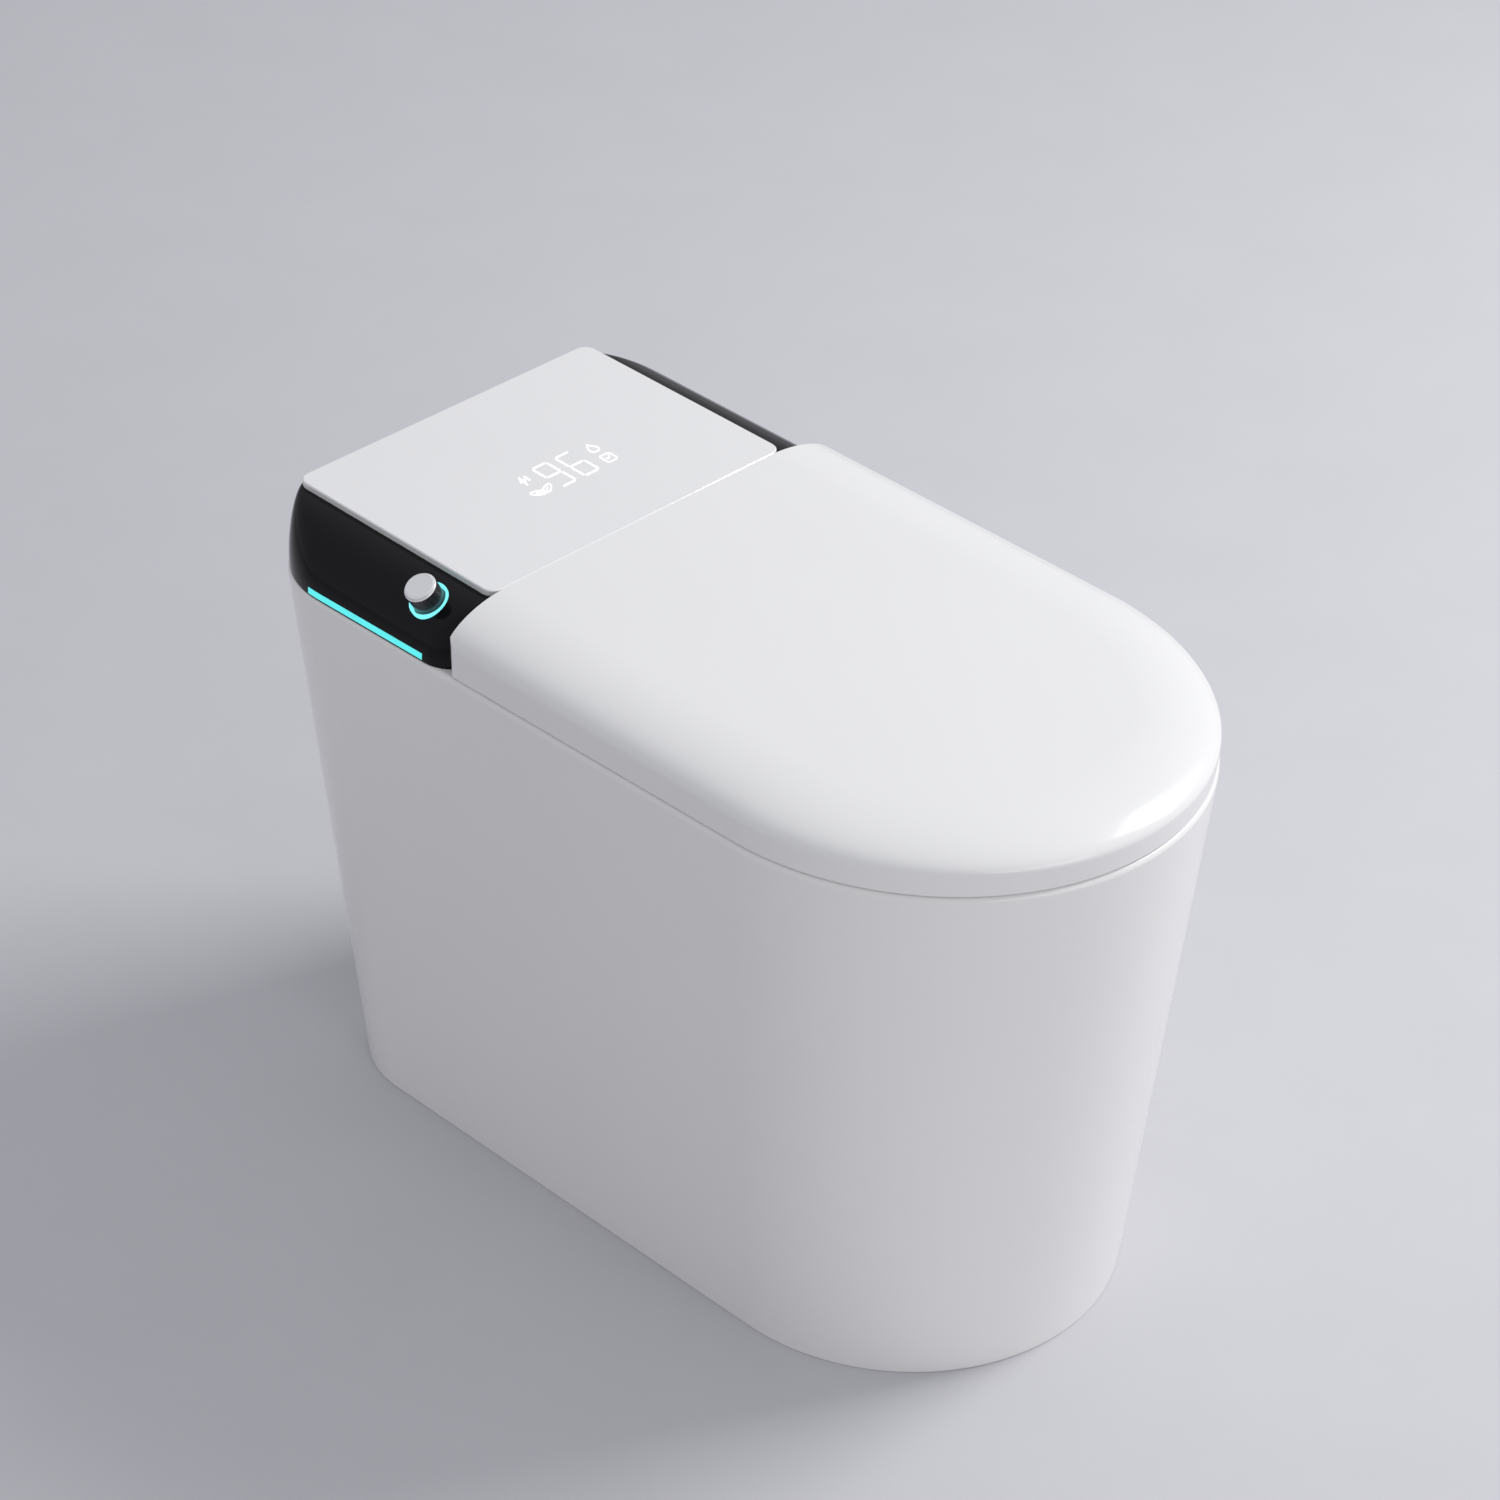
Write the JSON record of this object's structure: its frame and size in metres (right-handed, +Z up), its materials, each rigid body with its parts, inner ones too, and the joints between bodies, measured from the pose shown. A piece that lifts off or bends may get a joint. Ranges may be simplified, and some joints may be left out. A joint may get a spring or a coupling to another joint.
{
  "type": "smart toilet",
  "caption": "Floor-standing one-piece smart toilet with tapered skirt, heated seat, hinged lid, wash nozzles, warm-air dryer and turn-and-press knob.",
  "frame": {"origin": "middle of the footprint on the floor", "axes": "+Z up, +Y towards the wall behind, +X to the right as seen from the front"},
  "size_m": [0.373, 0.6993, 0.495],
  "materials": {
    "ceramic": "glazed",
    "white_shell": "gloss",
    "white_liner": "satin",
    "white_glass": "gloss",
    "black_shell": "gloss",
    "light": "lit",
    "display_print": "lit",
    "silver": "fine brushed",
    "dark_metal": "anodised",
    "steel": "satin",
    "rubber": "matt",
    "white_plastic": "satin",
    "grey_plastic": "matt",
    "motor_can": "satin",
    "circuit_board": "matt",
    "brass": "satin",
    "heater_mat": "matt"
  },
  "bodies": {
    "toilet": {"ceramic_skirt": "ceramic", "ceramic_deck": "ceramic", "ceramic_bowl": "ceramic", "ceramic_channel": "ceramic", "ceramic_trapway": "ceramic", "drain_seal": "rubber", "rear_housing": "black_shell", "light_bar": "light", "light_bar_board": "circuit_board", "glass_top_panel": "white_glass", "display_digits": "display_print", "display_symbols": "display_print", "display_module": "circuit_board", "knob_light_ring": "light", "knob_encoder": "grey_plastic", "hinge_bracket_left": "steel", "hinge_bracket_right": "steel", "hinge_shaft_left": "steel", "hinge_shaft_right": "steel", "seat_drive_unit": "grey_plastic", "lid_drive_unit": "grey_plastic", "chassis_plate": "grey_plastic", "chassis_bolts": "steel", "nozzle_guide": "white_plastic", "nozzle_drive": "grey_plastic", "dryer_duct": "white_plastic", "dryer_fan_housing": "grey_plastic", "dryer_fan_motor": "motor_can", "flush_tank": "white_plastic", "flush_pump": "motor_can", "pump_pipe": "grey_plastic", "inlet_valve": "grey_plastic", "water_inlet_fitting": "brass", "instant_water_heater": "grey_plastic", "main_board": "circuit_board", "power_supply": "grey_plastic", "deodoriser_cartridge": "grey_plastic", "cord_gland": "rubber"},
    "lid": {"lid_shell": "white_shell", "lid_liner": "white_liner", "lid_bumpers": "rubber", "lid_arm_left": "steel", "lid_arm_right": "steel"},
    "seat": {"seat_top_shell": "white_shell", "seat_base_pan": "white_liner", "seat_heater_mat": "heater_mat", "seat_bumpers": "rubber", "seat_arm_left": "steel", "seat_arm_right": "steel"},
    "knob": {"knob_body": "dark_metal"},
    "knob_button": {"knob_cap": "silver"},
    "rear_wash": {"rear_wash_nozzle": "steel", "rear_wash_tip": "white_plastic"},
    "front_wash": {"front_wash_nozzle": "steel", "front_wash_tip": "white_plastic"},
    "flap": {"dryer_flap": "white_plastic"},
    "impeller": {"dryer_impeller": "grey_plastic"}
  },
  "joints": [
    {"name": "lid_hinge", "type": "hinge", "parent": "toilet", "child": "lid", "pos_m": [0, 0.16025, 0.4717], "axis": [-1, 0, 0], "range_deg": [0, 95]},
    {"name": "seat_hinge", "type": "hinge", "parent": "toilet", "child": "seat", "pos_m": [0, 0.16025, 0.4717], "axis": [-1, 0, 0], "range_deg": [0, 90.25]},
    {"name": "knob_turn", "type": "hinge", "parent": "toilet", "child": "knob", "pos_m": [-0.165, 0.167, 0.47587], "axis": [-0.4848, 0, 0.8746], "continuous": true},
    {"name": "knob_press", "type": "slide", "parent": "knob", "child": "knob_button", "axis": [0.4848, 0, -0.8746], "range_m": [0, 0.001], "stiffness_N_per_m": 400},
    {"name": "rear_wash_slide", "type": "slide", "parent": "toilet", "child": "rear_wash", "axis": [0, -0.9781, -0.2079], "range_m": [0, 0.07]},
    {"name": "front_wash_slide", "type": "slide", "parent": "toilet", "child": "front_wash", "axis": [0, -0.9781, -0.2079], "range_m": [0, 0.07]},
    {"name": "dryer_flap_hinge", "type": "hinge", "parent": "toilet", "child": "flap", "pos_m": [0, 0.1276, 0.4394], "axis": [-1, 0, 0], "range_deg": [0, 60]},
    {"name": "fan_spin", "type": "hinge", "parent": "toilet", "child": "impeller", "pos_m": [0.082, 0.24, 0.45], "axis": [0, 0, 1], "continuous": true}
  ],
  "couplings": [
    {"joint": "seat_hinge", "follows": "lid_hinge", "ratio": 0.95}
  ]
}
